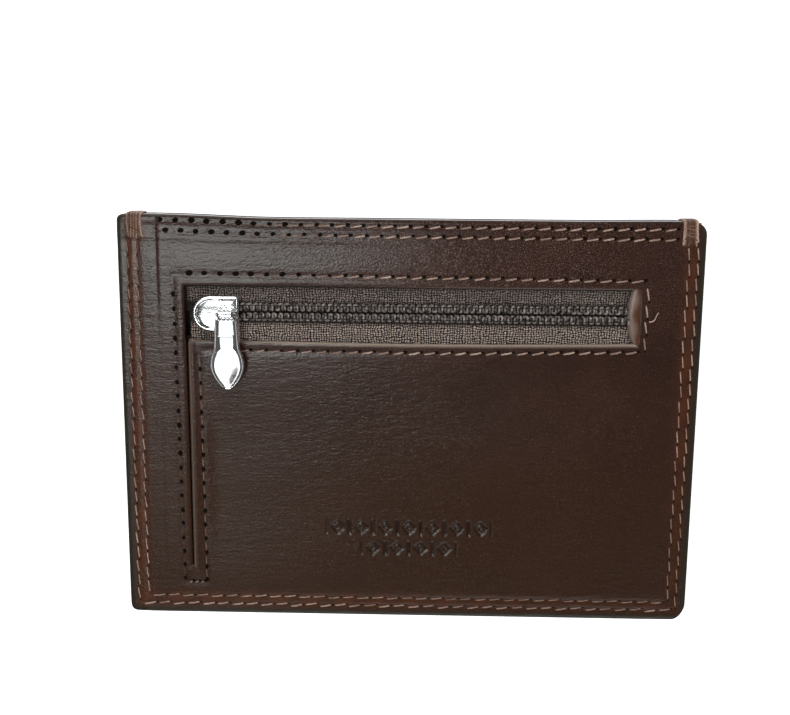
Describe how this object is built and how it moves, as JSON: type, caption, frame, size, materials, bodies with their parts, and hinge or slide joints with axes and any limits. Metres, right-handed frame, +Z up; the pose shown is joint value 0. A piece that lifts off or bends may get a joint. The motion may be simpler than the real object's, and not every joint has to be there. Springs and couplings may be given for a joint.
{
  "type": "minimalist wallet",
  "caption": "Slim leather card wallet lying flat: zipped coin pocket with a fold-out corner and gusset on the front, note compartment at the mouth, stepped card pockets behind.",
  "frame": {"origin": "centre of the bounding box at its base, on the surface that the wallet lies on", "axes": "+X along the zip, from its closed end to its open end; +Y towards the wallet's mouth; +Z up out of the zip face"},
  "size_m": [0.115, 0.082, 0.0124],
  "materials": {
    "leather": "dark chocolate brown leather, semi-gloss, fine wrinkles and pebble",
    "light_leather": "thin light brown leather, satin",
    "lining": "dark brown woven lining, slight sheen",
    "zip_tape": "herringbone woven tape, grey-brown",
    "zip_coil": "dark nylon coil, satin",
    "zip_metal": "polished bright plating with fine wear",
    "thread": "tan twisted polyester thread"
  },
  "bodies": {
    "wallet": {"front_panel": "leather", "front_hem": "leather", "coin_gusset": "leather", "back_hem": "leather", "back_panel": "leather", "inner_pocket_hem": "leather", "card_pocket_inner": "leather", "outer_pocket_hem": "leather", "card_pocket_outer": "leather", "zip_end_tab": "light_leather", "front_lining": "lining", "coin_back_lining": "lining", "note_front_lining": "lining", "note_back_lining": "lining", "upper_tape": "zip_tape", "lower_tape_end": "zip_tape", "upper_coil": "zip_coil", "lower_coil_end": "zip_coil", "outer_thread": "thread", "inner_thread": "thread", "mouth_thread": "thread", "zip_thread": "thread", "bar_tack_left": "thread", "bar_tack_right": "thread"},
    "coin_flap": {"coin_flap": "leather", "flap_lining": "lining", "lower_tape": "zip_tape", "lower_coil": "zip_coil", "flap_thread": "thread"},
    "slider": {"zip_slider": "zip_metal", "slider_bridge": "zip_metal"},
    "pull": {"pull_tab": "zip_metal"}
  },
  "joints": [
    {"name": "zip_slide", "type": "slide", "parent": "wallet", "child": "slider", "axis": [1, 0, 0], "range_m": [0, 0.0763], "deforming": ["upper_tape", "upper_coil", "lower_tape", "lower_coil", "lower_tape_end", "lower_coil_end"]},
    {"name": "coin_flap_fold", "type": "hinge", "parent": "wallet", "child": "coin_flap", "pos_m": [-0.0441, -0.0315, 0.0086], "axis": [0.8214, 0.5704, 0], "range_deg": [0, 13], "deforming": ["coin_gusset"]},
    {"name": "pull_swing", "type": "hinge", "parent": "slider", "child": "pull", "pos_m": [-0.0362, 0.0219, 0.0112], "axis": [-1, 0, 0], "range_deg": [-4, 176]}
  ],
  "couplings": [
    {"joint": "coin_flap_fold", "follows": "zip_slide", "rad_per_m": 2.973}
  ]
}
